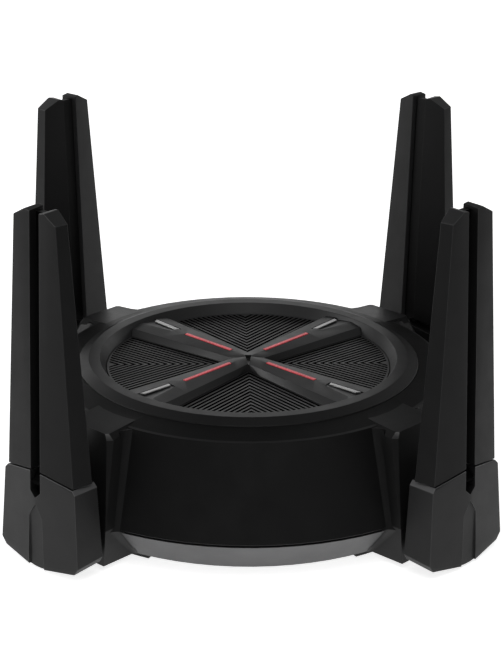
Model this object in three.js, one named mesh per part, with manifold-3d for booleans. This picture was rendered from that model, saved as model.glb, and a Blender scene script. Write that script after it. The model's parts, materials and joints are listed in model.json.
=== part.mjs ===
// A desktop wireless router: a round drum with a cross-shaped air grille on top and four short
// arms, each ending in a knuckle that carries a two-bladed antenna which folds outwards.
// Units are millimetres, +Z is up, the origin is on the drum's axis at the level of the feet,
// and the front faces -Y. Arm parts are drawn along +X and turned to their diagonal.
import * as THREE from 'three';
import { mergeVertices } from 'three/addons/utils/BufferGeometryUtils.js';
import { ConvexGeometry } from 'three/addons/geometries/ConvexGeometry.js';
import Module from 'manifold-3d';

const wasm = await Module();
wasm.setup();

// ---- driving dimensions -------------------------------------------------------------------
const gap = 0.3;                 // clearance between neighbouring pieces
const wall = 2.6;                // thickness of moulded walls
const roundSides = 72;           // facets of the drum

const drum = {
  rimTop: 68.4, rimOuter: 80.3, rimInner: 74.7,      // flat ring on top
  seatRadius: 85.6, seatTop: 66.0,                   // chamfered foot of the ring
  wellRadius: 71.6, ledgeRadius: 68.0, ledgeTop: 60.9, ringBottom: 58.8,
  shoulderRadius: 97.0, shoulderTop: 63.3,           // sloping shoulder round the ring
  wallTopRadius: 98.4, wallTop: 62.9,
  wallBottomRadius: 120.6, wallBottom: 20.4,         // the wall flares downwards
  lip: 0.8, parting: 0.9,                            // chamfer and gap above the base
  baseRadius: 105.8, baseBottom: 2.6, floorThickness: 2.4,
};
const arm = {                    // half sections: [outer end, half width, height]
  root: 85, rise: 2.2,           // the top climbs this much on its way in
  top: [109.6, 13.0, 62.7], edge: [110.6, 15.8, 60.0],
  waist: [124.3, 26.6, 22.0], bottom: [123.4, 23.8, 2.6],
  nip: 1.3,                      // small corner facet on the top outer corners
  fillet: 6.0, lowFillet: 2.0,   // blend radius into the wall, and at the bottom of the arm
};
const grille = { top: 63.3, thickness: 2.1, outer: 71.2, pitch: 4.05, slot: 2.25, firstSlot: 11.6 };
const spoke = {
  ridge: 67.3, edge: 66.3, bottom: 60.2, length: 75.5,
  edgeWidth: (t) => 5.0 + 0.094 * t,                 // half width of the top faces
  baseStart: 6.4, baseTaper: 0.125,                  // half width where it meets the grille
};
const spokeBase = (t) => spoke.baseStart + spoke.baseTaper * t;
const strip = { start: 12.6, end: 44.8, width: 2.0, offset: -0.6 };
const accent = {                 // silver insert in a shallow pocket; widths run back to front
  start: 52.5, end: 71.0, depth: 1.0,
  pocketStart: [-4.2, 1.4], pocketEnd: [-5.6, 4.2],
  insertStart: [-3.6, -1.2], insertEnd: [-4.9, -2.2],
};
const knuckle = { inner: 126.3, slot: 3.4, slotEnd: 40.5, slotTip: 37.5, ledge: 22.4 };
const blade = {                  // the inner faces of a pair lean back from the slot
  slot: 3.2, innerSlot: 4.1, top: 177.0, shoulder: 172.5, outerTop: 138.9, innerTop: 129.7,
};
const hinge = { reach: 141.5, height: 45.0, pin: 0.7, barrel: 1.5 };
const board = { bottom: 23.4, thickness: 1.6, reach: 66 };
const port = { face: 90.5, halfWidth: 58, bottom: 23.6, top: 43.4, lip: 1.5 };
const fan = { bottom: 43, top: 57, bore: 41, hub: 15 };
const screwReach = 83;           // distance of the case screws from the axis
const bevel = 0.35;

const diagonals = { back_right: 45, back_left: 135, front_left: 225, front_right: 315 };
const rad = THREE.MathUtils.degToRad;

// ---- materials ----------------------------------------------------------------------------
const finish = (color, roughness, metalness = 0) =>
  new THREE.MeshStandardMaterial({ color, roughness, metalness });
const blackPlastic = () => finish(0x1d1d1e, 0.5);
const satinPlastic = () => finish(0x303032, 0.42);
const greyPlastic = () => finish(0x4a4a4b, 0.6);
const rubber = () => finish(0x151515, 0.9);
const redLens = () => finish(0xc4454e, 0.35);
const silver = () => finish(0xa8a8aa, 0.35, 0.6);
const steel = () => finish(0x9c9ea2, 0.35, 1);
const circuitBoard = () => finish(0x12351f, 0.6);
const aluminium = () => finish(0xb4b6b9, 0.4, 1);

// ---- solid helpers ------------------------------------------------------------------------
function solid(geometry) {
  const bare = geometry.clone();
  bare.deleteAttribute('normal');
  bare.deleteAttribute('uv');
  const merged = mergeVertices(bare, 1e-4);
  const corners = Float32Array.from(merged.attributes.position.array);
  const point = (i) => new THREE.Vector3().fromArray(corners, 3 * i);
  const triangles = [];
  let volume = 0;
  for (let i = 0; i < merged.index.count; i += 3) {
    const [a, b, c] = [0, 1, 2].map((k) => merged.index.getX(i + k));
    if (a === b || b === c || c === a) continue;
    volume += point(a).dot(point(b).cross(point(c)));
    triangles.push(a, b, c);
  }
  if (volume < 0) triangles.reverse();
  return new wasm.Manifold(new wasm.Mesh({
    numProp: 3, vertProperties: corners, triVerts: Uint32Array.from(triangles),
  }));
}

function geometryOf(shape) {
  const mesh = shape.getMesh();
  const geometry = new THREE.BufferGeometry();
  geometry.setAttribute('position', new THREE.BufferAttribute(mesh.vertProperties, 3));
  geometry.setIndex(new THREE.BufferAttribute(mesh.triVerts, 1));
  geometry.computeVertexNormals();
  return geometry;
}

const join = (...shapes) => shapes.reduce((all, next) => all.add(next));
const cut = (shape, ...tools) => tools.reduce((left, tool) => left.subtract(tool), shape);
const common = (shape, other) => shape.intersect(other);

function hull(points) {
  return solid(new ConvexGeometry(points.map((p) => new THREE.Vector3(...p))));
}

// points with their mirror images across the arm's middle plane
const bothSides = (points) => points.flatMap(([t, w, z]) => (w ? [[t, w, z], [t, -w, z]] : [[t, 0, z]]));

function block(x0, x1, y0, y1, z0, z1) {
  const box = new THREE.BoxGeometry(x1 - x0, y1 - y0, z1 - z0);
  return solid(box.translate((x0 + x1) / 2, (y0 + y1) / 2, (z0 + z1) / 2));
}

function bevelledBlock(x0, x1, y0, y1, z0, z1, edge = bevel) {
  const corners = [];
  for (const [x, sx] of [[x0, 1], [x1, -1]]) {
    for (const [y, sy] of [[y0, 1], [y1, -1]]) {
      for (const [z, sz] of [[z0, 1], [z1, -1]]) {
        corners.push([x + sx * edge, y + sy * edge, z], [x + sx * edge, y, z + sz * edge]);
        corners.push([x, y + sy * edge, z + sz * edge]);
      }
    }
  }
  return hull(corners);
}

// a turned solid from its [radius, height] outline
function turned(outline, sides = roundSides) {
  const profile = outline.map(([r, z]) => new THREE.Vector2(r, z));
  if (outline[0][0] > 0) profile.push(profile[0].clone());
  return solid(new THREE.LatheGeometry(profile, sides).rotateX(Math.PI / 2));
}

function rod(radius, z0, z1, sides = 20) {
  return turned([[0, z0], [radius, z0], [radius, z1], [0, z1]], sides);
}

// an [x, y] outline raised from z0 to z1
function plate(outline, z0, z1, holes = []) {
  const toPoint = ([x, y]) => new THREE.Vector2(x, y);
  const shape = new THREE.Shape(outline.map(toPoint));
  shape.holes = holes.map((hole) => new THREE.Path(hole.map(toPoint)));
  const raised = new THREE.ExtrudeGeometry(shape, { depth: z1 - z0, bevelEnabled: false });
  return solid(raised.translate(0, 0, z0));
}

const turn = (shape, degrees) => shape.rotate([0, 0, degrees]);
const polar = (radius, degrees) => [radius * Math.cos(rad(degrees)), radius * Math.sin(rad(degrees))];

// ---- the router ---------------------------------------------------------------------------
const router = new THREE.Group();

function add(name, shape, material, degrees = 0) {
  const mesh = new THREE.Mesh(geometryOf(shape), material);
  mesh.name = name;
  mesh.rotation.z = rad(degrees);
  router.add(mesh);
}

// ---- housing: flared wall, shoulder and four hollow arms ----------------------------------
function armSolid(inset) {
  const { root, rise, top, edge, waist, bottom, nip } = arm;
  const inward = ([t, w, z], drop = 0) => [t - inset, w - inset, z + drop];
  const levels = [inward(top, -inset), inward(edge, -inset), inward(waist), inward(bottom, inset)];
  const section = levels.flatMap(([t, w, z]) => [[root, w, z], [t, w, z]]);
  section[0][2] += rise;
  if (inset === 0) {
    // the top outer corners end in a small triangular face
    section[1] = [top[0] - nip, top[1], top[2]];
    section.push([top[0], top[1] - nip, top[2]]);
    section[3] = [edge[0] - 2 * nip, edge[1], edge[2]];
    section.push([edge[0], edge[1] - 1.6 * nip, edge[2]]);
  }
  return hull(bothSides(section));
}

// where a round blend of the given radius touches the arm's side and the wall at height z
function blendLevel(z, armHalf, wallRadius, radius) {
  const across = armHalf + radius;
  const reach = wallRadius + radius;
  const along = Math.sqrt(reach * reach - across * across);
  const share = wallRadius / reach;
  return { z, armHalf, radius, along, across, onWall: [along * share, across * share] };
}

// the hollow-cornered web that blends one side of an arm into the wall between two heights
function armBlend(low, high, cap) {
  const corners = [low, high].flatMap(({ z, armHalf, along, across, onWall }) => [
    [arm.root, 0, z], [arm.root, armHalf, z], [along, armHalf - 1, z], [along, across, z],
    [...onWall, z],
  ]);
  const sweep = [-0.04, 1.12].flatMap((step) => {
    const at = (key) => low[key] + step * (high[key] - low[key]);
    return Array.from({ length: 40 }, (_, i) => {
      const [x, y] = polar(at('radius'), 9 * i);
      return [at('along') + x, at('across') + y, at('z')];
    });
  });
  return cut(hull([...corners, ...cap]), hull(sweep));
}

function armBlends() {
  const waist = arm.waist[1] - 0.3;
  const split = drum.wallBottom;
  const topRadius = drum.wallTopRadius + 0.8;
  const high = blendLevel(arm.edge[2], arm.edge[1], topRadius, arm.fillet);
  const middle = blendLevel(split, waist, drum.wallBottomRadius, arm.fillet);
  const low = blendLevel(arm.bottom[2], arm.bottom[1], drum.baseRadius + gap, arm.lowFillet);
  const crest = arm.top[2] - 0.1;
  const share = (drum.shoulderRadius - 0.4) / topRadius;
  const cap = [[arm.root, 0, crest], [high.along, arm.top[1], crest],
    [high.onWall[0] * share, high.onWall[1] * share, crest]];
  const oneSide = join(armBlend(middle, high, cap), armBlend(low, middle, []));
  return join(oneSide, oneSide.mirror([0, 1, 0]));
}

function baseCone(extra) {
  const slope = (drum.wallBottomRadius - drum.baseRadius) / (drum.wallBottom - drum.baseBottom);
  const top = drum.wallBottom - 0.2;
  const low = drum.baseBottom - 4;
  return turned([
    [0, low], [drum.baseRadius - 4 * slope + extra, low],
    [drum.wallBottomRadius - 0.2 * slope + extra, top], [0, top],
  ]);
}

function housing() {
  const outer = turned([
    [0, drum.wallBottom], [drum.wallBottomRadius - drum.lip, drum.wallBottom],
    [drum.wallBottomRadius, drum.wallBottom + drum.lip],
    [drum.wallTopRadius, drum.wallTop], [drum.shoulderRadius, drum.shoulderTop],
    [drum.seatRadius + gap, drum.seatTop - 0.4], [0, drum.seatTop - 0.4],
  ]);
  const flange = drum.ringBottom - gap;
  const hollow = turned([
    [0, drum.wallBottom - 2], [drum.wallBottomRadius - wall + 1, drum.wallBottom - 2],
    [drum.wallTopRadius - wall, drum.wallTop - wall], [79.5, flange - wall + 0.2],
    [79.5, flange], [drum.seatRadius + gap, flange],
    [drum.seatRadius + gap, drum.rimTop + 1], [0, drum.rimTop + 1],
  ]);
  let shell = outer;
  let inside = hollow;
  for (const degrees of Object.values(diagonals)) {
    shell = join(shell, turn(join(armSolid(0), armBlends()), degrees));
    inside = join(inside, turn(armSolid(wall), degrees));
  }
  shell = cut(shell, inside, baseCone(gap));
  for (const degrees of Object.values(diagonals)) {
    const [x, y] = polar(screwReach, degrees);
    const post = rod(4.5, board.bottom + board.thickness + gap, flange - 1).translate([x, y, 0]);
    const pilot = rod(1.75, 0, 40).translate([x, y, 0]);
    shell = cut(join(shell, post), pilot);
  }
  const mouth = block(-port.halfWidth - gap, port.halfWidth + gap, port.face - wall - gap, 140,
    port.bottom - gap, port.top + gap);
  return cut(shell, mouth);
}

// ---- top ring, grille, spokes and lights ---------------------------------------------------
function rimRing() {
  return turned([
    [drum.rimInner, drum.rimTop], [drum.wellRadius, grille.top - 0.2],
    [drum.wellRadius, drum.ledgeTop], [drum.ledgeRadius, drum.ledgeTop],
    [drum.ledgeRadius, drum.ringBottom], [drum.seatRadius, drum.ringBottom],
    [drum.seatRadius, drum.seatTop], [drum.rimOuter, drum.rimTop],
  ]);
}

// one quarter of the grille, drawn about +X: nested V-shaped slots parallel to the spokes
function grilleQuarter() {
  const taper = Math.atan(spoke.baseTaper);
  const lean = Math.PI / 4 - taper;
  const along = (start, length, side) =>
    [start + length * Math.cos(lean), side * length * Math.sin(lean)];
  const legTo = (start, radius) => {
    const half = start * Math.cos(lean);
    return -half + Math.sqrt(half * half + radius * radius - start * start);
  };
  const apex = (spoke.baseStart * Math.cos(taper) + gap) / Math.sin(lean);
  const edge = along(apex, legTo(apex, grille.outer), 1);
  const sweep = Math.atan2(edge[1], edge[0]);
  const outline = [[apex, 0]];
  const arcSteps = 14;
  for (let i = 0; i <= arcSteps; i += 1) {
    const angle = -sweep + (2 * sweep * i) / arcSteps;
    outline.push([grille.outer * Math.cos(angle), grille.outer * Math.sin(angle)]);
  }
  const slots = [];
  const slotEnd = grille.outer - 1.0;
  for (let start = grille.firstSlot; start < slotEnd - 3; start += grille.pitch) {
    const [near, far] = [legTo(start, slotEnd), legTo(start + grille.slot, slotEnd)];
    slots.push([
      [start, 0], along(start, near, 1), along(start + grille.slot, far, 1),
      [start + grille.slot, 0], along(start + grille.slot, far, -1), along(start, near, -1),
    ]);
  }
  return plate(outline, grille.top - grille.thickness, grille.top, slots);
}

// the flanks twist slightly along the spoke, so it is built in short lengths
function oneSpoke() {
  const section = (t) => bothSides([
    [t, spokeBase(t) - gap, spoke.bottom], [t, spokeBase(t) - gap, grille.top],
    [t, spoke.edgeWidth(t), spoke.edge], [t, 0, spoke.ridge],
  ]);
  const lengths = 10;
  const at = (i) => section((spoke.length * i) / lengths);
  let solid = hull([...at(0), ...at(1)]);
  for (let i = 1; i < lengths; i += 1) {
    solid = join(solid, hull([...at(i), ...at(i + 1)]));
  }
  return solid;
}

// side +1 or -1 picks the flank of the spoke that looks to the front
function accentPocket(side) {
  const { start, end, depth, pocketStart, pocketEnd } = accent;
  const past = spoke.length + 2;
  const [floor, sky] = [spoke.ridge - 0.35 - depth, spoke.ridge + 2];
  const section = (t, [back, front], slant) => [
    [t, side * back, floor], [t, side * back, sky], [t + slant, side * front, spoke.ridge - 0.3],
    [t + slant, side * front, sky],
  ];
  return hull([...section(start - 0.8, pocketStart, 1.8), ...section(end, pocketEnd, 0),
    ...section(past, pocketEnd, 0)]);
}

function accentInsert(side) {
  const { start, end, depth, insertStart, insertEnd } = accent;
  const low = spoke.ridge - 0.35 - depth + gap;
  const section = (t, [back, front], slant) => [
    [t, side * back, low], [t, side * back, low + 0.75],
    [t + slant, side * front, low + 0.3], [t + slant, side * front, low + 0.95],
  ];
  return hull([...section(start, insertStart, 1.2), ...section(end, insertEnd, -1.2)]);
}

// on the right-hand diagonals the front flank lies on the clockwise side of the spoke
const flankOf = { back_right: -1, back_left: 1, front_left: 1, front_right: -1 };

function spokeCross() {
  let cross = null;
  for (const degrees of Object.values(diagonals)) {
    const next = turn(oneSpoke(), degrees);
    cross = cross ? join(cross, next) : next;
  }
  const bound = turned([
    [0, spoke.bottom - 1], [drum.wellRadius - gap, spoke.bottom - 1],
    [drum.wellRadius - gap, grille.top - 0.2], [drum.rimInner - gap, drum.rimTop],
    [drum.rimInner - gap, drum.rimTop + 2], [0, drum.rimTop + 2],
  ]);
  const ledge = cut(rod(90, spoke.bottom - 1, drum.ledgeTop + gap, roundSides),
    rod(drum.ledgeRadius - gap, spoke.bottom - 2, drum.ledgeTop + 1, roundSides));
  cross = cut(common(cross, bound), ledge);
  for (const [name, degrees] of Object.entries(diagonals)) {
    const lightSlot = lightStrip(flankOf[name], gap, 3);
    cross = cut(cross, turn(lightSlot, degrees), turn(accentPocket(flankOf[name]), degrees));
  }
  // a wedge-shaped notch where the spokes cross points to the front
  const notch = hull([[-1.8, 2.2, 70], [1.8, 2.2, 70], [0, -11.0, 70],
    [-1.5, 2.0, 65.2], [1.5, 2.0, 65.2], [0, -10.2, 66.2]]);
  return cut(cross, notch);
}

function lightStrip(side, grow = 0, rise = 0) {
  const [half, middle] = [strip.width / 2 + grow, side * strip.offset];
  return bevelledBlock(strip.start - grow, strip.end + grow, middle - half, middle + half,
    spoke.bottom - 0.6 - rise, spoke.ridge + 0.1 + rise, 0.15);
}

// ---- base ------------------------------------------------------------------------------------
function bottomCover() {
  const floorTop = drum.baseBottom + drum.floorThickness;
  const rimHeight = drum.wallBottom - drum.parting;
  let cover = turned([
    [0, drum.baseBottom], [drum.baseRadius, drum.baseBottom],
    [drum.wallBottomRadius - 0.6, rimHeight], [drum.wallBottomRadius - 0.6 - wall, rimHeight],
    [drum.baseRadius - 1.6, floorTop], [0, floorTop],
  ]);
  const slotCount = 24;
  for (let i = 0; i < slotCount; i += 1) {
    const vent = block(38, 74, -1.4, 1.4, drum.baseBottom - 1, floorTop + 1);
    cover = cut(cover, turn(vent, (360 * (i + 0.5)) / slotCount));
  }
  for (const degrees of Object.values(diagonals)) {
    const [x, y] = polar(screwReach, degrees);
    const boss = rod(5, floorTop - 0.5, board.bottom - gap).translate([x, y, 0]);
    const bore = rod(1.75, 0, 40).translate([x, y, 0]);
    const sink = rod(3.4, 0, drum.baseBottom + 2.2).translate([x, y, 0]);
    cover = cut(join(cover, boss), bore, sink);
  }
  return cover;
}

function foot() {
  const [inner, outer, sweep, steps] = [92.5, 104.2, 16.5, 10];
  const arc = (radius, from, to) => Array.from({ length: steps + 1 },
    (_, i) => polar(radius, from + ((to - from) * i) / steps));
  const layer = (inset, z0, z1) => plate(
    [...arc(outer - inset, -sweep, sweep), ...arc(inner + inset, sweep, -sweep)], z0, z1);
  return join(layer(0.5, 0, 0.6), layer(0, 0.5, drum.baseBottom - gap));
}

function caseScrew() {
  const head = rod(3.0, drum.baseBottom + 0.3, drum.baseBottom + 1.9, 16);
  return join(head, rod(1.4, drum.baseBottom + 1.5, 34, 12));
}

// ---- antennas ----------------------------------------------------------------------------------
function knuckleSolid() {
  const body = hull(bothSides([
    [144.9, 0, 0.9], [145.0, 0, 8.5], [142.3, 24.0, 4.9], [142.4, 26.7, 8.5],
    [127.0, 25.5, 7.4], [126.8, 26.9, 10.0], [140.9, 24.3, 45.0], [knuckle.inner, 23.7, 44.7],
    [140.7, knuckle.ledge, 47.0], [143.4, 3.4, 50.4],
    [knuckle.inner, knuckle.ledge - 0.6, 46.8], [knuckle.inner, 3.4, 49.9],
  ]));
  const bridge = block(124.7, 128, -17, 17, 9, 30);
  const slotOutline = [[-knuckle.slot, 60], [-knuckle.slot, knuckle.slotEnd], [0, knuckle.slotTip],
    [knuckle.slot, knuckle.slotEnd], [knuckle.slot, 60]];
  const facetOutline = [[-5.3, -2], [5.3, -2], [4.3, 27.6], [0, 34.3], [-4.3, 27.6]];
  // outlines are drawn across the arm, then stood up to face outwards
  const outward = (outline, from, to) => plate(outline, from, to).rotate([90, 0, 90]);
  return cut(join(body, bridge), outward(slotOutline, 131, 150), outward(facetOutline, 143.5, 150),
    crossRod(hinge.pin + gap, 7.4));
}

// a rod across the arm on the hinge axis
function crossRod(radius, halfLength, sides = 14) {
  const pin = rod(radius, -halfLength, halfLength, sides).rotate([90, 0, 0]);
  return pin.translate([hinge.reach, 0, hinge.height]);
}

// the core between the blades, nearly flush with them on the inner side and deep on the outer
function antennaSpine() {
  const half = blade.slot + 0.06;        // wide enough to close the slot to a straight look
  const inner = half + 0.2;
  const web = hull(bothSides([
    [129.5, half, 53.2], [135.6, half, 52.6], [132.8, half, 175.2], [134.8, half, 175.2],
    [127.3, inner, 53.7], [131.9, inner, 175.4],
  ]));
  const neck = hull(bothSides([[131.0, 2.6, 54.0], [135.4, 2.6, 54.0],
    [140.4, 2.6, 43.9], [hinge.reach + 0.9, 2.6, 46.2]]));
  return cut(join(web, neck, crossRod(hinge.barrel, 2.6)), crossRod(hinge.pin + gap, 9));
}

// side +1 or -1 picks the blade on either side of the slot
function antennaBlade(side) {
  const { slot, innerSlot, top, shoulder, outerTop, innerTop } = blade;
  const body = hull([
    [143.2, slot, 51.2], [140.2, 22.4, 47.5], [129.4, 23.9, 47.3], [125.0, innerSlot, 50.5],
    [outerTop, slot, 176.1], [outerTop, 6.6, 176.7], [outerTop, 14.1, shoulder],
    [innerTop, innerSlot, 176.4], [innerTop + 0.6, 6.6, top], [innerTop + 2.6, 14.9, shoulder],
  ].map(([t, w, z]) => [t, side * w, z]));
  // the inner side is cut back above the knuckle, between small lugs at the sides
  const relief = hull(bothSides([[118, 0, 58.8], [118, 21.8, 54.4], [132.5, 0, 52.2],
    [132.5, 21.8, 48.9], [118, 0, 40], [118, 21.8, 40], [132.5, 0, 40], [132.5, 21.8, 40]]));
  return cut(body, relief);
}

// ---- electronics -------------------------------------------------------------------------------
function mainBoard() {
  const top = board.bottom + board.thickness;
  const half = board.reach;
  const cornerCut = 3;
  const outline = [[-half + cornerCut, -half], [half - cornerCut, -half], [half, -half + cornerCut],
    [half, half - cornerCut], [half - cornerCut, half], [57, half], [57, 84], [-57, 84],
    [-57, half], [-half + cornerCut, half], [-half, half - cornerCut], [-half, -half + cornerCut]];
  let sheet = plate(outline, board.bottom, top);
  for (const degrees of Object.values(diagonals)) {
    const [x, y] = polar(screwReach, degrees);
    sheet = cut(sheet, rod(2.1, board.bottom - 1, top + 1, 12).translate([x, y, 0]));
  }
  return sheet;
}

function heatSink() {
  const seat = board.bottom + board.thickness + gap;
  let sink = bevelledBlock(-34, 34, -34, 34, seat, seat + 4);
  const finCount = 11;
  for (let i = 0; i < finCount; i += 1) {
    const x = -32 + (64 * i) / (finCount - 1);
    sink = join(sink, block(x - 0.9, x + 0.9, -33, 33, seat + 3.5, fan.bottom - 2));
  }
  return sink;
}

function shieldCan() {
  const seat = board.bottom + board.thickness + gap;
  return bevelledBlock(38, 62, -30, 30, seat, seat + 4.2, 0.8);
}

function fanFrame() {
  let frame = turned([[fan.bore, fan.bottom], [fan.bore + 2.5, fan.bottom],
    [fan.bore + 2.5, fan.top], [fan.bore, fan.top]], 40);
  frame = join(frame, rod(12, fan.bottom, fan.bottom + 1.8));
  for (let i = 0; i < 4; i += 1) {
    const strut = block(8, fan.bore + 1, -2, 2, fan.bottom, fan.bottom + 1.8);
    const ear = block(fan.bore + 1, fan.bore + 11, -5, 5, fan.bottom, fan.bottom + 2.5);
    frame = join(frame, turn(join(strut, ear), 45 + 90 * i));
  }
  return frame;
}

function fanRotor() {
  let rotor = rod(fan.hub, fan.bottom + 3, fan.top - 1, 28);
  const bladeCount = 9;
  for (let i = 0; i < bladeCount; i += 1) {
    const [tip, low, high] = [fan.bore - 1.2, fan.bottom + 3.5, fan.top - 1.5];
    const vane = hull([[fan.hub - 2, -3.4, low], [fan.hub - 2, -2.2, low], [fan.hub - 2, 3.4, high],
      [fan.hub - 2, 2.2, high], [tip, -8.0, low], [tip, -6.8, low], [tip, 6.4, high], [tip, 5.2, high]]);
    rotor = join(rotor, turn(vane, (360 * i) / bladeCount));
  }
  return rotor;
}

function lightBoard() {
  let cross = null;
  for (let i = 0; i < 4; i += 1) {
    const leg = turn(block(-4, 66, -4, 4, 57.8, 59.0), 45 + 90 * i);
    cross = cross ? join(cross, leg) : leg;
  }
  return cross;
}

// ---- rear sockets and buttons --------------------------------------------------------------------
const socket = { jackPitch: 15.6, jackWidth: 15.2, jackHeight: 13.4, firstJack: -48.0, jackCount: 5 };
const socketFloor = board.bottom + board.thickness + gap;
const jackCentre = (i) => socket.firstJack + i * socket.jackPitch;
const usbCentre = 30.5;
const inletCentre = 44.2;
const buttonCentre = 52.9;
const meshButton = { radius: 2.9, height: 36.0, proud: 1.6, travel: 1.0 };
const resetButton = { radius: 1.0, height: 28.6, travel: 0.8 };

function portPanel() {
  const { face, halfWidth, bottom, top, lip } = port;
  const outer = block(-halfWidth, halfWidth, face - wall, 135, bottom, top);
  const inner = block(-halfWidth + lip, halfWidth - lip, face, 140, bottom + lip, top - lip);
  const skin = turned([
    [0, drum.wallBottom], [drum.wallBottomRadius, drum.wallBottom],
    [drum.wallTopRadius, drum.wallTop], [0, drum.wallTop],
  ]);
  let panel = common(cut(outer, inner), skin);
  const opening = (centre, width, height) => block(centre - width / 2 - gap, centre + width / 2 + gap,
    face - wall - 1, face + 1, socketFloor - gap, socketFloor + height + gap);
  for (let i = 0; i < socket.jackCount; i += 1) {
    panel = cut(panel, opening(jackCentre(i), socket.jackWidth, socket.jackHeight));
  }
  panel = cut(panel, opening(usbCentre, 14.6, 7.2), opening(inletCentre, 10.4, 11.0));
  return cut(panel, pushRod(meshButton.radius + gap, meshButton.height, face - 5, face + 1),
    pushRod(resetButton.radius + gap, resetButton.height, face - 5, face + 1));
}

// a rod pointing out of the rear face
function pushRod(radius, height, y0, y1, sides = 20) {
  return rod(radius, -y1, -y0, sides).rotate([90, 0, 0]).translate([buttonCentre, 0, height]);
}

function ethernetJack(centre) {
  const { jackWidth, jackHeight } = socket;
  const body = block(centre - jackWidth / 2, centre + jackWidth / 2, port.face - 19.5, port.face,
    socketFloor, socketFloor + jackHeight);
  const mouth = block(centre - 5.95, centre + 5.95, port.face - 14, port.face + 1,
    socketFloor + 3.6, socketFloor + 11.4);
  const latch = block(centre - 2, centre + 2, port.face - 9, port.face + 1,
    socketFloor + 1.6, socketFloor + 4);
  return cut(body, mouth, latch);
}

function usbSocket() {
  const shell = block(usbCentre - 7.3, usbCentre + 7.3, port.face - 17, port.face,
    socketFloor, socketFloor + 7.2);
  const mouth = block(usbCentre - 6.4, usbCentre + 6.4, port.face - 12, port.face + 1,
    socketFloor + 0.9, socketFloor + 6.3);
  const tongue = block(usbCentre - 5.6, usbCentre + 5.6, port.face - 13, port.face - 1,
    socketFloor + 4.2, socketFloor + 5.9);
  return join(cut(shell, mouth), tongue);
}

function powerInlet() {
  const height = 11.0;
  const body = block(inletCentre - 5.2, inletCentre + 5.2, port.face - 13, port.face,
    socketFloor, socketFloor + height);
  const bore = rod(3.3, -port.face - 1, -port.face + 10).rotate([90, 0, 0])
    .translate([inletCentre, 0, socketFloor + 5.6]);
  const pin = rod(1.05, -port.face + 1, -port.face + 11, 12).rotate([90, 0, 0])
    .translate([inletCentre, 0, socketFloor + 5.6]);
  return join(cut(body, bore), pin);
}

function meshButtonCap() {
  const { radius, height, proud } = meshButton;
  const collar = pushRod(radius + 0.4, height, port.face - wall - 6, port.face - wall - 2.2);
  const cap = pushRod(radius, height, port.face - wall - 4, port.face + proud - 0.4);
  const crown = pushRod(radius - 0.4, height, port.face, port.face + proud);
  return join(collar, cap, crown);
}

function resetPlunger() {
  const { radius, height } = resetButton;
  const collar = pushRod(radius + 0.9, height, port.face - wall - 4, port.face - wall - 1.2, 14);
  return join(collar, pushRod(radius, height, port.face - wall - 2, port.face - 0.7, 14));
}

// ---- assembly --------------------------------------------------------------------------------------
add('housing', housing(), blackPlastic());
add('rim_ring', rimRing(), satinPlastic());
add('spoke_cross', spokeCross(), satinPlastic());
add('bottom_cover', bottomCover(), greyPlastic());
for (const [side, degrees] of Object.entries({ right: 0, back: 90, left: 180, front: 270 })) {
  add(`grille_${side}`, grilleQuarter(), satinPlastic(), degrees);
}
for (const [corner, degrees] of Object.entries(diagonals)) {
  add(`light_strip_${corner}`, lightStrip(flankOf[corner]), redLens(), degrees);
  add(`accent_insert_${corner}`, accentInsert(flankOf[corner]), silver(), degrees);
  add(`foot_${corner}`, foot(), rubber(), degrees);
  add(`knuckle_${corner}`, knuckleSolid(), blackPlastic(), degrees);
  add(`antenna_spine_${corner}`, antennaSpine(), blackPlastic(), degrees);
  add(`blade_left_${corner}`, antennaBlade(1), blackPlastic(), degrees);
  add(`blade_right_${corner}`, antennaBlade(-1), blackPlastic(), degrees);
  add(`hinge_pin_${corner}`, crossRod(hinge.pin, 7), steel(), degrees);
  add(`case_screw_${corner}`, caseScrew().translate([screwReach, 0, 0]), steel(), degrees);
}
add('main_board', mainBoard(), circuitBoard());
add('heat_sink', heatSink(), aluminium());
add('shield_can', shieldCan(), aluminium());
add('fan_frame', fanFrame(), blackPlastic());
add('fan_rotor', fanRotor(), blackPlastic());
add('light_board', lightBoard(), circuitBoard());
add('port_panel', portPanel(), blackPlastic());
for (let i = 0; i < socket.jackCount; i += 1) {
  add(`ethernet_jack_${i + 1}`, ethernetJack(jackCentre(i)), greyPlastic());
}
add('usb_socket', usbSocket(), steel());
add('power_inlet', powerInlet(), blackPlastic());
add('mesh_button', meshButtonCap(), satinPlastic());
add('reset_button', resetPlunger(), satinPlastic());

export default router;
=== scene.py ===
# A desktop wireless router on a white table: every visible part of the CAD frame gets its
# finished surface here. Lengths are in metres.
import bmesh
import bpy
import json
import math
from mathutils import Matrix, Vector


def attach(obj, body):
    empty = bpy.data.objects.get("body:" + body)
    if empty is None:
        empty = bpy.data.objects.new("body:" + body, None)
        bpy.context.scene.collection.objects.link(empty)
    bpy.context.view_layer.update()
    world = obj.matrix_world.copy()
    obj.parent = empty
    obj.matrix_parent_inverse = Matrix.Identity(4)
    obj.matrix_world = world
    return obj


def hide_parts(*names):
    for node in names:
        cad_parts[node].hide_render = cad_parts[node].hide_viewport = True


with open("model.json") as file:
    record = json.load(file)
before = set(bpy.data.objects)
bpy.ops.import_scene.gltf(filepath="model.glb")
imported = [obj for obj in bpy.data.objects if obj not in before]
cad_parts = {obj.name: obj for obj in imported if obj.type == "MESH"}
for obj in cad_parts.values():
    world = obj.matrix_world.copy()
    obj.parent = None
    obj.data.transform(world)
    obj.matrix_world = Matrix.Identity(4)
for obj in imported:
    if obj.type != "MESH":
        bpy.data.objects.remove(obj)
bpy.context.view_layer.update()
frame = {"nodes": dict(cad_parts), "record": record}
MM = 0.001
# the direction of each corner in degrees, from +X (the router's right) towards +Y (its back)
CORNERS = {"back_right": 45, "back_left": 135, "front_left": 225, "front_right": 315}

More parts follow.
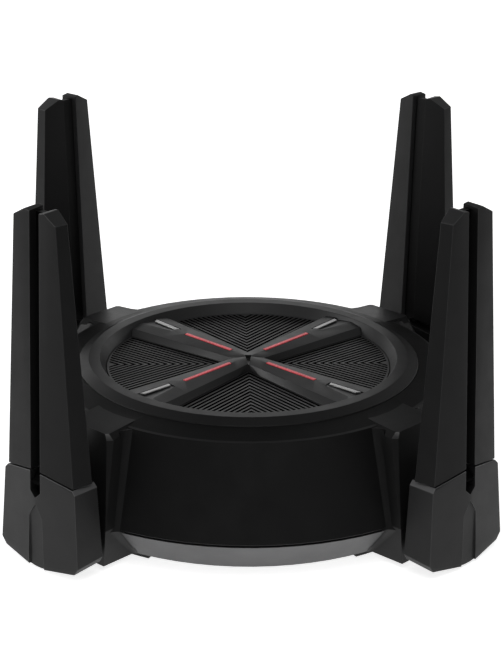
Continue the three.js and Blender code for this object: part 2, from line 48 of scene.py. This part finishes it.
# limits that pick out the faces given painted light, shade and highlights: radii are from the
# upright axis
SLOT_HALF_WIDTH = 4.4 * MM       # walls of an antenna's slot are this close to its middle
SLOT_LOW = 34 * MM               # and above this
LEDGE_HEIGHT = 43 * MM           # slanted faces above this are a knuckle's side ledges
BLADE_TOP_HEIGHT = 168 * MM      # slanted faces above this are a blade's top
RING_FOOT_RADIUS = 80.5 * MM     # the chamfered foot of the top ring is outside this
ARM_TOP_RADIUS = 94 * MM         # the nearly level arm tops are outside this
ARM_TOP_HEIGHT = 62 * MM         # and above this
BROW_RADII = (96.5 * MM, 98.8 * MM)    # the narrow slope on top of the wall is between these
BROW_HEIGHT = 62.7 * MM          # and above this
ARM_CORNER_RADIUS = 108 * MM     # the small triangles at the arms' top corners are outside this,
ARM_CORNER_HEIGHT = 59 * MM      # above this
ARM_CORNER_AREA = 9 * MM * MM    # and smaller than this

# how a CAD mesh is made whole before its edges are rounded
WELD_DISTANCE = 2e-6             # corners closer than this are one
SHORTEST_EDGE = 1e-6             # edges shorter than this are dropped
FLAT_ANGLE = math.radians(0.6)   # facets that meet at less than this are one flat face


# ---- shader helpers ----------------------------------------------------------------------------
class Nodes:
    """A small builder for one material's node tree."""

    def __init__(self, name):
        self.material = bpy.data.materials.new(name)
        self.material.use_nodes = True
        self.tree = self.material.node_tree
        self.shader = self.tree.nodes["Principled BSDF"]
        coords = self.tree.nodes.new("ShaderNodeTexCoord")
        self.place = coords.outputs["Object"]

    def add(self, kind, **inputs):
        """A new node with inputs filled by name, where an underscore stands for a space."""
        node = self.tree.nodes.new(kind)
        for key, value in inputs.items():
            self.feed(node.inputs[key.replace("_", " ")], value)
        return node

    def feed(self, socket, value):
        """Links the socket to another node's output, or gives it a fixed value."""
        if isinstance(value, bpy.types.NodeSocket):
            self.tree.links.new(value, socket)
        else:
            socket.default_value = value

    def noise(self, scale, detail=3.0, roughness=0.55):
        node = self.add("ShaderNodeTexNoise", Vector=self.place, Scale=scale,
                        Detail=detail, Roughness=roughness)
        return node.outputs["Fac"]

    def cells(self, scale):
        node = self.add("ShaderNodeTexVoronoi", Vector=self.place, Scale=scale)
        return node.outputs["Distance"]

    def remap(self, value, low, high, new_low, new_high):
        node = self.tree.nodes.new("ShaderNodeMapRange")
        for key, item in (("Value", value), ("From Min", low), ("From Max", high),
                          ("To Min", new_low), ("To Max", new_high)):
            self.feed(node.inputs[key], item)
        return node.outputs["Result"]

    def math(self, kind, a, b):
        node = self.tree.nodes.new("ShaderNodeMath")
        node.operation = kind
        self.feed(node.inputs[0], a)
        self.feed(node.inputs[1], b)
        return node.outputs[0]

    def mix(self, amount, a, b):
        """Blends two colours, through the sockets that the node uses for colours."""
        factor, first, second, result = 0, 6, 7, 2
        node = self.tree.nodes.new("ShaderNodeMix")
        node.data_type = "RGBA"
        self.feed(node.inputs[factor], amount)
        self.feed(node.inputs[first], a)
        self.feed(node.inputs[second], b)
        return node.outputs[result]

    def bump(self, height, strength, distance):
        node = self.add("ShaderNodeBump", Strength=strength, Distance=distance, Height=height)
        return node.outputs["Normal"]

    def set(self, **inputs):
        """Fills inputs of the material's own shader by name."""
        for key, value in inputs.items():
            self.feed(self.shader.inputs[key.replace("_", " ")], value)


def grey(level, tint=(1.0, 1.0, 1.0)):
    """A grey of this level as a colour, with a slight tint if one is given."""
    return (level * tint[0], level * tint[1], level * tint[2], 1.0)


def moulded(name, tone, roughness, grain=2600.0, grain_depth=0.00003, dust=0.02, specular=0.5):
    """Injection-moulded plastic with an eroded grain, handling marks and a trace of dust."""
    tint = (1.0, 1.0, 1.02)
    variation = 0.12
    n = Nodes(name)
    fine = n.noise(grain, 2.0, 0.6)
    pores = n.cells(grain * 0.55)
    cloud = n.noise(16.0, 4.0, 0.6)
    rub = n.noise(75.0, 5.0, 0.65)
    base = n.mix(n.remap(cloud, 0.3, 0.7, 0.0, 1.0), grey(tone * (1 - variation), tint),
                 grey(tone * (1 + variation), tint))
    grained = n.mix(n.remap(fine, 0.35, 0.65, 0.0, 0.35), base, grey(tone * 1.5, tint))
    specks = n.remap(n.cells(420.0), 0.0, 0.09, 1.0, 0.0)
    specks = n.math("MULTIPLY", specks, n.remap(n.noise(40.0), 0.56, 0.7, 0.0, 1.0))
    dusty = n.mix(n.math("MULTIPLY", specks, dust * 6), grained, grey(0.22))
    n.set(Base_Color=dusty, IOR=1.5, Specular_IOR_Level=specular)
    rough = n.remap(rub, 0.25, 0.75, roughness - 0.06, roughness + 0.06)
    rough = n.math("ADD", rough, n.remap(fine, 0.3, 0.7, -0.04, 0.04))
    n.set(Roughness=rough)
    height = n.math("ADD", n.math("MULTIPLY", fine, 0.7), n.math("MULTIPLY", pores, 0.5))
    n.set(Normal=n.bump(height, 0.55, grain_depth))
    return n.material


def glowing_lens(name):
    """A red diffusing light guide with a softly uneven glow and flecks in the moulding."""
    n = Nodes(name)
    flecks = n.noise(900.0, 3.0, 0.6)
    band = n.noise(60.0, 2.0, 0.5)
    colour = n.mix(n.remap(band, 0.3, 0.7, 0.0, 1.0), (0.42, 0.028, 0.04, 1), (0.56, 0.06, 0.075, 1))
    n.set(Base_Color=colour, Roughness=n.remap(flecks, 0.3, 0.7, 0.22, 0.36), IOR=1.49)
    n.set(Subsurface_Weight=0.25, Subsurface_Scale=0.001)
    n.set(Emission_Color=colour, Emission_Strength=n.remap(band, 0.3, 0.7, 0.22, 0.34))
    n.set(Normal=n.bump(flecks, 0.2, 0.00002))
    return n.material


def painted_silver(name):
    """Silver paint with fine flakes in it."""
    n = Nodes(name)
    flake = n.cells(5200.0)
    cloud = n.noise(45.0, 4.0, 0.6)
    colour = n.mix(n.remap(flake, 0.0, 0.6, 0.0, 1.0), grey(0.50), grey(0.36))
    n.set(Base_Color=colour, Metallic=0.55, Roughness=n.remap(cloud, 0.3, 0.7, 0.28, 0.4))
    n.set(Normal=n.bump(flake, 0.18, 0.00002))
    return n.material


def metal(name, tone, roughness, stretch=(1.0, 1.0, 40.0)):
    """Plated or drawn metal; its fine lines run across the axis with the largest stretch."""
    n = Nodes(name)
    mapping = n.tree.nodes.new("ShaderNodeMapping")
    n.tree.links.new(n.place, mapping.inputs["Vector"])
    mapping.inputs["Scale"].default_value = stretch
    lines = n.add("ShaderNodeTexNoise", Vector=mapping.outputs["Vector"], Scale=900.0, Detail=3.0)
    cloud = n.noise(60.0, 4.0, 0.6)
    colour = n.mix(n.remap(cloud, 0.3, 0.7, 0.0, 1.0), grey(tone * 0.9), grey(tone * 1.06))
    n.set(Base_Color=colour, Metallic=1.0)
    n.set(Roughness=n.remap(lines.outputs["Fac"], 0.3, 0.7, roughness - 0.07, roughness + 0.1))
    n.set(Normal=n.bump(lines.outputs["Fac"], 0.25, 0.00002))
    return n.material


def laminate(name):
    """A solder-masked circuit board with buried tracks and a weave."""
    n = Nodes(name)
    tracks = n.tree.nodes.new("ShaderNodeTexBrick")
    n.tree.links.new(n.place, tracks.inputs["Vector"])
    for key, value in (("Scale", 160.0), ("Mortar Size", 0.08), ("Brick Width", 1.7)):
        tracks.inputs[key].default_value = value
    tracks.inputs["Color1"].default_value = (0.010, 0.058, 0.026, 1)
    tracks.inputs["Color2"].default_value = (0.008, 0.048, 0.022, 1)
    tracks.inputs["Mortar"].default_value = (0.022, 0.105, 0.05, 1)
    weave = n.noise(1400.0, 2.0)
    n.set(Base_Color=tracks.outputs["Color"], Roughness=n.remap(weave, 0.3, 0.7, 0.24, 0.38))
    n.set(Normal=n.bump(tracks.outputs["Fac"], 0.3, 0.00004))
    return n.material


# depth of the moulded grain, from the roughest surface to the smoothest
COARSE = 0.00005
MATT = 0.00004
FINE = 0.00002
POLISHED = 0.00001

BLACK = moulded("black_plastic_fine_grain", tone=0.0036, roughness=0.46, specular=0.10)
# painted highlight: rounded edges lighter than the faces, on a smoother finish
BLACK_EDGE_PAINTED_HIGHLIGHT = moulded("black_plastic_edges_painted_highlight", tone=0.008, roughness=0.38, grain_depth=POLISHED,
                     specular=0.2)
# painted light: the blade faces that look towards the router are made lighter than the rest of the
# blade
BLADE_INNER_PAINTED_LIGHT = moulded("black_plastic_inner_faces_painted_light", tone=0.0055, roughness=0.46, specular=0.14)
# painted light: the blade tops are made lighter than the blade, where the light from above falls
BLADE_TOP_PAINTED_LIGHT = moulded("black_plastic_blade_tops_painted_light", tone=0.017, roughness=0.44, specular=0.3)
# painted light: the slot walls of the back antennas are made lighter than the blades, where light
# falls into the slots
SLOT_WALL_PAINTED_LIGHT = moulded("black_plastic_slot_walls_painted_light", tone=0.018, roughness=0.5, specular=0.1)
KNUCKLE = moulded("hinge_plastic", tone=0.0068, roughness=0.46, specular=0.19)
# painted highlight: rounded edges lighter than the faces, on a smoother finish
KNUCKLE_EDGE_PAINTED_HIGHLIGHT = moulded("hinge_plastic_edges_painted_highlight", tone=0.014, roughness=0.4, grain_depth=POLISHED,
                       specular=0.32)
# painted highlight: the knuckles' slanted side ledges are made much lighter than the knuckle
LEDGE_PAINTED_HIGHLIGHT = moulded("hinge_plastic_ledges_painted_highlight", tone=0.055, roughness=0.4, grain_depth=POLISHED,
                specular=0.7)
WALL = moulded("black_plastic_wall", tone=0.0042, roughness=0.44, specular=0.2)
# painted highlight: rounded edges lighter than the faces, on a smoother finish
WALL_EDGE_PAINTED_HIGHLIGHT = moulded("black_plastic_wall_edges_painted_highlight", tone=0.012, roughness=0.4,
                    grain_depth=POLISHED, specular=0.35)
# painted light: the arm tops and the narrow slope on top of the wall are made lighter than the wall,
# where light falls on them
ARM_TOP_PAINTED_LIGHT = moulded("black_plastic_arm_tops_painted_light", tone=0.010, roughness=0.44, specular=0.45)
# painted highlight: the small triangles at the arms' top corners are made lighter and shinier
ARM_CORNER_PAINTED_HIGHLIGHT = moulded("arm_corner_painted_highlight", tone=0.016, roughness=0.34, grain_depth=POLISHED,
                     specular=0.5)
SATIN = moulded("satin_plastic_top", tone=0.016, roughness=0.42, grain=3000.0,
                grain_depth=FINE, specular=0.34)
# painted highlight: rounded edges lighter than the faces, on a smoother finish
SATIN_EDGE_PAINTED_HIGHLIGHT = moulded("satin_plastic_edges_painted_highlight", tone=0.020, roughness=0.42, grain_depth=POLISHED,
                     specular=0.34)
# painted shade: the chamfered foot of the top ring is made darker than the ring's top, where less
# light falls
RING_SLOPE_PAINTED_SHADE = moulded("satin_plastic_slope_painted_shade", tone=0.010, roughness=0.44, grain=3000.0,
                     grain_depth=FINE, specular=0.2)
RIB = moulded("grille_plastic", tone=0.022, roughness=0.42, grain=3200.0, grain_depth=FINE,
              specular=0.45)
# painted shade: the sides of the grille's ribs are nearly black, for the shade in the slots between
# them
GRILLE_SLOT_PAINTED_SHADE = moulded("grille_slot_sides_painted_shade", tone=0.003, roughness=0.75, specular=0.05)
BASE_GREY = moulded("base_plastic", tone=0.068, roughness=0.6, grain=2200.0, grain_depth=MATT)
RUBBER = moulded("foot_rubber", tone=0.012, roughness=0.8, grain=1800.0, grain_depth=COARSE,
                 dust=0.05)
# the fan's dark inner plastic, and painted shade on the walls of the hinge slots and the front
# antennas' slots
DARK_AND_PAINTED_SLOT_SHADE = moulded("inner_black_plastic_and_painted_slot_shade", tone=0.004, roughness=0.7, specular=0.15)
# painted shadow: a nearly black material for the shadow in the slots, on the spines' outer faces and
# the hinge pins
PAINTED_SLOT_SHADOW = moulded("black_plastic_painted_slot_shadow", tone=0.0012, roughness=0.85, specular=0.02)
RED = glowing_lens("red_light_guide")
SILVER = painted_silver("silver_paint")
STEEL = metal("plated_steel", tone=0.55, roughness=0.32)
ALUMINIUM = metal("mill_aluminium", tone=0.62, roughness=0.38, stretch=(1.0, 30.0, 1.0))
BOARD = laminate("board_laminate")


# ---- piece helpers -----------------------------------------------------------------------------
def body_of(node):
    """The name of the body that a CAD node belongs to."""
    for body, members in frame["record"]["behaviour"]["bodies"].items():
        if node in members:
            return body
    raise KeyError(node)


def bake(obj):
    """Replaces the object's mesh with the result of its modifiers."""
    graph = bpy.context.evaluated_depsgraph_get()
    mesh = bpy.data.meshes.new_from_object(obj.evaluated_get(graph))
    obj.modifiers.clear()
    obj.data = mesh


def welded(node):
    """A new mesh object with a CAD node's shape: corners welded and flat faces whole again."""
    source = frame["nodes"][node]
    mesh = bpy.data.meshes.new(node + "_shape")
    b = bmesh.new()
    b.from_mesh(source.data)
    bmesh.ops.remove_doubles(b, verts=b.verts, dist=WELD_DISTANCE)
    bmesh.ops.dissolve_degenerate(b, dist=SHORTEST_EDGE, edges=b.edges)
    bmesh.ops.dissolve_limit(b, angle_limit=FLAT_ANGLE, verts=b.verts, edges=b.edges)
    for face in b.faces:
        face.material_index = 0
    b.to_mesh(mesh)
    b.free()
    for layer in ("custom_normal", "sharp_face", "sharp_edge"):
        if layer in mesh.attributes:
            mesh.attributes.remove(mesh.attributes[layer])
    obj = bpy.data.objects.new(node + "_moulded", mesh)
    bpy.context.scene.collection.objects.link(obj)
    return obj


def dress(node, face, edge=None, *, round_mm, angle=24, segments=2, crease=40):
    """Rebuilds a CAD node in place of the bare solid, with rounded edges. An edge material, when
    given, makes them smoother and lighter: the lighter colour is a painted highlight.

    Edges sharper than angle are rounded, and those sharper than crease after that stay crisp.
    With no rounding, edges sharper than angle stay crisp.
    """
    edge_slot, same_as_face = 1, -1
    obj = welded(node)
    obj.data.materials.append(face)
    obj.data.materials.append(edge or face)
    if round_mm:
        bevel = obj.modifiers.new("round", "BEVEL")
        bevel.width = round_mm * MM
        bevel.segments = segments
        bevel.limit_method = "ANGLE"
        bevel.angle_limit = math.radians(angle)
        bevel.material = edge_slot if edge else same_as_face
        bake(obj)
    smooth_by_angle(obj, crease if round_mm else angle)
    flatten = obj.modifiers.new("flatten", "WEIGHTED_NORMAL")
    flatten.keep_sharp = True
    flatten.weight = 90
    bake(obj)
    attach(obj, body_of(node))
    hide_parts(node)
    return obj


def shade(obj, material, wanted):
    """Gives the faces that pass the test their own material."""
    obj.data.materials.append(material)
    slot = len(obj.data.materials) - 1
    for face in obj.data.polygons:
        if wanted(face):
            face.material_index = slot


def corner_axes(degrees):
    """The directions away from the router and across a corner piece."""
    angle = math.radians(degrees)
    away = Vector((math.cos(angle), math.sin(angle), 0.0))
    across = Vector((-math.sin(angle), math.cos(angle), 0.0))
    return away, across


def slot_side(degrees):
    """A test for faces that line the slot down the middle of a corner piece."""
    across = corner_axes(degrees)[1]
    return lambda face: (abs(face.center.dot(across)) < SLOT_HALF_WIDTH
                         and abs(face.normal.dot(across)) > 0.3
                         and face.center.z > SLOT_LOW)


def outward(degrees):
    """A test for faces that look away from the router at a corner."""
    away = corner_axes(degrees)[0]
    return lambda face: face.normal.dot(away) > 0.3


def inward(degrees):
    """A test for faces that look towards the router at a corner."""
    away = corner_axes(degrees)[0]
    return lambda face: face.normal.dot(away) < -0.5


def radius(face):
    """How far a face is from the router's upright axis."""
    return face.center.xy.length


# the tests below limit how level a face is: normal.z is 1 on a level face, 0 on an upright one
def blade_top(face):
    return face.center.z > BLADE_TOP_HEIGHT and face.normal.z > 0.25


def ring_foot(face):
    return 0.2 < face.normal.z < 0.97 and radius(face) > RING_FOOT_RADIUS


def ledge(face):
    return face.center.z > LEDGE_HEIGHT and 0.3 < face.normal.z < 0.93


def arm_top(face):
    return (face.normal.z > 0.99 and face.center.z > ARM_TOP_HEIGHT
            and radius(face) > ARM_TOP_RADIUS)


def brow(face):
    return (0.9 < face.normal.z < 0.972 and face.center.z > BROW_HEIGHT
            and BROW_RADII[0] < radius(face) < BROW_RADII[1])


def arm_corner(face):
    return (face.area < ARM_CORNER_AREA and 0.25 < face.normal.z < 0.95
            and face.center.z > ARM_CORNER_HEIGHT and radius(face) > ARM_CORNER_RADIUS)


def rib_side(face):
    return abs(face.normal.z) < 0.9


def smooth_by_angle(obj, degrees):
    """Shades smoothly across edges flatter than this, and keeps the others crisp."""
    b = bmesh.new()
    b.from_mesh(obj.data)
    limit = math.radians(degrees)
    for face in b.faces:
        face.smooth = True
    for edge in b.edges:
        if len(edge.link_faces) == 2:
            edge.smooth = edge.calc_face_angle(0.0) < limit
    b.to_mesh(obj.data)
    b.free()


def repaint(node, material):
    """Gives a CAD node that is kept as it is a new finish."""
    obj = frame["nodes"][node]
    for item in obj.material_slots:
        item.material = material


# ---- the parts ---------------------------------------------------------------------------------
shell = dress("housing", WALL, WALL_EDGE_PAINTED_HIGHLIGHT, round_mm=0.4, angle=14, crease=16)
# painted light on the arm tops, and a painted highlight along the slope on top of the wall
shade(shell, ARM_TOP_PAINTED_LIGHT, arm_top)
shade(shell, ARM_TOP_PAINTED_LIGHT, brow)
# painted highlight on the small triangles at the arms' top corners
shade(shell, ARM_CORNER_PAINTED_HIGHLIGHT, arm_corner)
ring = dress("rim_ring", SATIN, round_mm=0.2)
# painted shade on the ring's chamfered foot
shade(ring, RING_SLOPE_PAINTED_SHADE, ring_foot)
dress("spoke_cross", SATIN, SATIN_EDGE_PAINTED_HIGHLIGHT, round_mm=0.2, crease=20)
dress("bottom_cover", BASE_GREY, round_mm=0.5)
for side in ("right", "back", "left", "front"):
    quarter = dress("grille_" + side, RIB, round_mm=0.15, angle=50, segments=1)
    # painted shade on the sides of the ribs
    shade(quarter, GRILLE_SLOT_PAINTED_SHADE, rib_side)
for corner, degrees in CORNERS.items():
    knuckle = dress("knuckle_" + corner, KNUCKLE, KNUCKLE_EDGE_PAINTED_HIGHLIGHT, round_mm=0.3)
    # painted highlight on the side ledges
    shade(knuckle, LEDGE_PAINTED_HIGHLIGHT, ledge)
    # painted shade on the walls of the hinge's slot, and painted shadow on the spine's outer faces
    shade(knuckle, DARK_AND_PAINTED_SLOT_SHADE, slot_side(degrees))
    spine = dress("antenna_spine_" + corner, BLACK, round_mm=0.25)
    shade(spine, PAINTED_SLOT_SHADOW, outward(degrees))
    # painted shade on the slot walls of the front antennas, painted light on those of the back
    # antennas
    painted_slot_shading = DARK_AND_PAINTED_SLOT_SHADE if corner.startswith("front") else SLOT_WALL_PAINTED_LIGHT
    for hand in ("left", "right"):
        blade = dress(f"blade_{hand}_{corner}", BLACK, BLACK_EDGE_PAINTED_HIGHLIGHT, round_mm=0.35)
        # painted light on the blade tops, and on the faces that look towards the router
        shade(blade, BLADE_TOP_PAINTED_LIGHT, blade_top)
        shade(blade, BLADE_INNER_PAINTED_LIGHT, inward(degrees))
        shade(blade, painted_slot_shading, slot_side(degrees))
    dress("light_strip_" + corner, RED, round_mm=0.0)
    dress("accent_insert_" + corner, SILVER, round_mm=0.15)
    dress("foot_" + corner, RUBBER, round_mm=0.3)
    # painted shadow on the hinge pins
    repaint("hinge_pin_" + corner, PAINTED_SLOT_SHADOW)
    repaint("case_screw_" + corner, STEEL)
for node in ("main_board", "light_board"):
    repaint(node, BOARD)
for node in ("heat_sink", "shield_can"):
    repaint(node, ALUMINIUM)
for node in ("fan_frame", "fan_rotor"):
    dress(node, DARK_AND_PAINTED_SLOT_SHADE, round_mm=0.3)
dress("port_panel", BLACK, BLACK_EDGE_PAINTED_HIGHLIGHT, round_mm=0.4)
for number in range(1, 6):
    dress(f"ethernet_jack_{number}", BASE_GREY, round_mm=0.2)
dress("usb_socket", STEEL, round_mm=0.15)
dress("power_inlet", BLACK, round_mm=0.2)
for node in ("mesh_button", "reset_button"):
    dress(node, SATIN, round_mm=0.2)


# ---- table, light and camera -------------------------------------------------------------------
def table_top():
    """A white table past the view on every side, with a glow that fades to the sides and front."""
    mesh = bpy.data.meshes.new("table_top")
    reach = 6.0
    brightness = 0.82
    corners = [(-reach, -reach, 0), (reach, -reach, 0), (reach, reach, 0), (-reach, reach, 0)]
    mesh.from_pydata(corners, [], [(0, 1, 2, 3)])
    obj = bpy.data.objects.new("table_top", mesh)
    bpy.context.scene.collection.objects.link(obj)
    n = Nodes("white_table")
    haze = n.noise(3.0, 3.0)
    n.set(Base_Color=n.mix(n.remap(haze, 0.3, 0.7, 0.0, 1.0), grey(0.86), grey(0.9)))
    n.set(Roughness=n.remap(haze, 0.3, 0.7, 0.55, 0.65), Specular_IOR_Level=0.2)
    axes = n.add("ShaderNodeSeparateXYZ", Vector=n.place)
    right = n.remap(axes.outputs["X"], 0.3, 0.7, 1.0, 0.7)
    left = n.remap(axes.outputs["X"], -0.8, -0.35, 0.85, 1.0)
    front = n.remap(axes.outputs["Y"], -0.6, -0.25, 0.75, 1.0)
    glow = n.math("MULTIPLY", n.math("MULTIPLY", right, left), front)
    n.set(Emission_Color=grey(1.0), Emission_Strength=n.math("MULTIPLY", glow, brightness))
    obj.data.materials.append(n.material)


def softbox(name, azimuth, elevation, spread, brightness):
    """A round soft light around the router: azimuth 0 is behind it and 90 to its right."""
    distance = 2.5
    aim = Vector((0, 0, 0.05))
    az, el = math.radians(azimuth), math.radians(elevation)
    away = Vector((math.sin(az) * math.cos(el), math.cos(az) * math.cos(el), math.sin(el)))
    light = bpy.data.lights.new(name, "AREA")
    light.shape = "DISK"
    light.size = 2 * distance * math.tan(math.radians(spread / 2))
    # the power that makes a disk of this size look this bright
    light.energy = brightness * (math.pi * light.size / 2) ** 2
    obj = bpy.data.objects.new(name, light)
    obj.location = away * distance + aim
    obj.rotation_mode = "QUATERNION"
    obj.rotation_quaternion = (-away).to_track_quat("-Z", "Y")
    bpy.context.scene.collection.objects.link(obj)


def studio():
    """Low lights behind and to the left, high ones all round, and a nearly dark room."""
    world = bpy.data.worlds.new("studio")
    bpy.context.scene.world = world
    world.use_nodes = True
    background = world.node_tree.nodes["Background"]
    background.inputs["Color"].default_value = (1, 1, 1, 1)
    background.inputs["Strength"].default_value = 0.02
    softbox("left_low", azimuth=270, elevation=14, spread=26, brightness=7.2)
    softbox("back_left_low", azimuth=330, elevation=14, spread=26, brightness=1.65)
    softbox("back_low", azimuth=0, elevation=14, spread=26, brightness=1.1)
    softbox("back_right_low", azimuth=45, elevation=14, spread=26, brightness=1.4)
    softbox("front_high", azimuth=180, elevation=64, spread=40, brightness=2.8)
    softbox("left_high", azimuth=270, elevation=38, spread=36, brightness=0.5)
    softbox("back_left_high", azimuth=318, elevation=44, spread=30, brightness=0.45)
    softbox("back_right_high", azimuth=42, elevation=44, spread=30, brightness=0.45)
    softbox("front_right_high", azimuth=135, elevation=38, spread=36, brightness=0.34)
    softbox("right_high", azimuth=90, elevation=38, spread=36, brightness=0.28)
    softbox("front_left_high", azimuth=225, elevation=38, spread=36, brightness=0.27)


def camera():
    """The photographer's place: in front, a little to the left, looking down on the router."""
    place = Vector((-0.0267, -1.0636, 0.4915))
    yaw, pitch, roll = math.radians(1.51), math.radians(21.19), math.radians(0.21)
    data = bpy.data.cameras.new("camera")
    data.lens = 122.26
    data.sensor_width = 36.0
    data.clip_end = 50.0
    obj = bpy.data.objects.new("camera", data)
    ahead = Vector((math.sin(yaw) * math.cos(pitch), math.cos(yaw) * math.cos(pitch),
                    -math.sin(pitch)))
    level = Vector((math.cos(yaw), -math.sin(yaw), 0.0))
    upright = level.cross(ahead)
    right = level * math.cos(roll) + upright * math.sin(roll)
    up = upright * math.cos(roll) - level * math.sin(roll)
    turn = Matrix((right, up, -ahead)).transposed().to_4x4()
    obj.matrix_world = Matrix.Translation(place) @ turn
    bpy.context.scene.collection.objects.link(obj)
    bpy.context.scene.camera = obj


table_top()
studio()
camera()
bpy.context.scene.view_settings.view_transform = "Standard"
